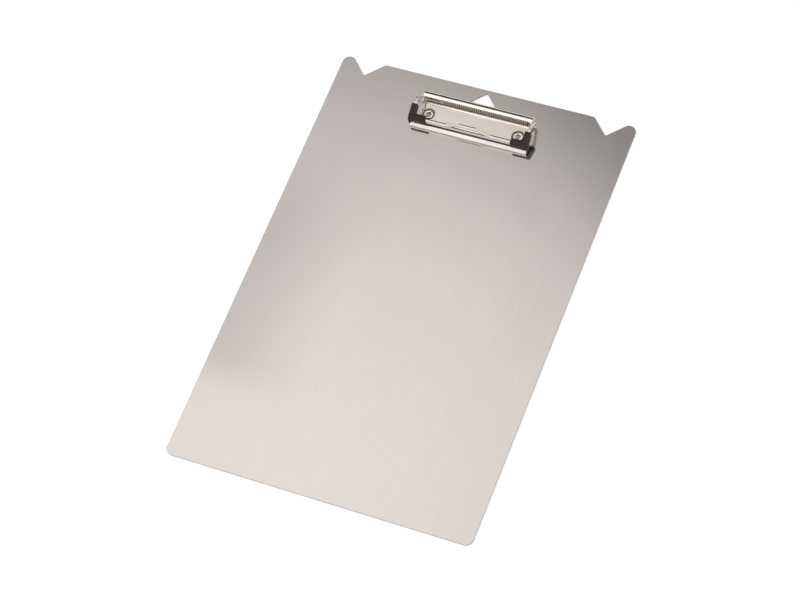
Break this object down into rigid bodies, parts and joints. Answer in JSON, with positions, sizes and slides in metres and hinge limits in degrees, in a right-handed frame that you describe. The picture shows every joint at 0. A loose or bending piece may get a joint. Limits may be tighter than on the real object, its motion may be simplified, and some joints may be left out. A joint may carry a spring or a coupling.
{
  "type": "clipboard",
  "caption": "Flat aluminium clipboard with a low wire clip that a coil spring holds down on the sheet, black corner caps and a hanging hole.",
  "frame": {"origin": "centre of the board's back face, on the surface that it lies on", "axes": "+Z from the board's back to the clip's side, +Y along the board towards the clip, +X to the right as one reads the board"},
  "size_m": [0.222, 0.3264, 0.013],
  "materials": {
    "sheet": "fine brushed, satin",
    "plate": "bright nickel plate",
    "rivets": "bright nickel plate",
    "spring": "plain spring wire",
    "wire": "polished nickel plate",
    "strip": "polished nickel plate",
    "caps": "smooth black, soft"
  },
  "bodies": {
    "base": {"board": "sheet", "base_plate": "plate", "rivet_left": "rivets", "rivet_right": "rivets", "torsion_spring": "spring"},
    "jaw": {"wire_bail": "wire", "jaw_strip": "strip", "corner_cap_left": "caps", "corner_cap_right": "caps"}
  },
  "joints": [
    {"name": "clip_hinge", "type": "hinge", "parent": "base", "child": "jaw", "pos_m": [0, 0.14475, 0.0055], "axis": [-1, 0, 0], "range_deg": [0, 65], "stiffness_Nm_per_rad": 0.026, "springref_deg": -139.8, "deforming": ["torsion_spring"]}
  ]
}
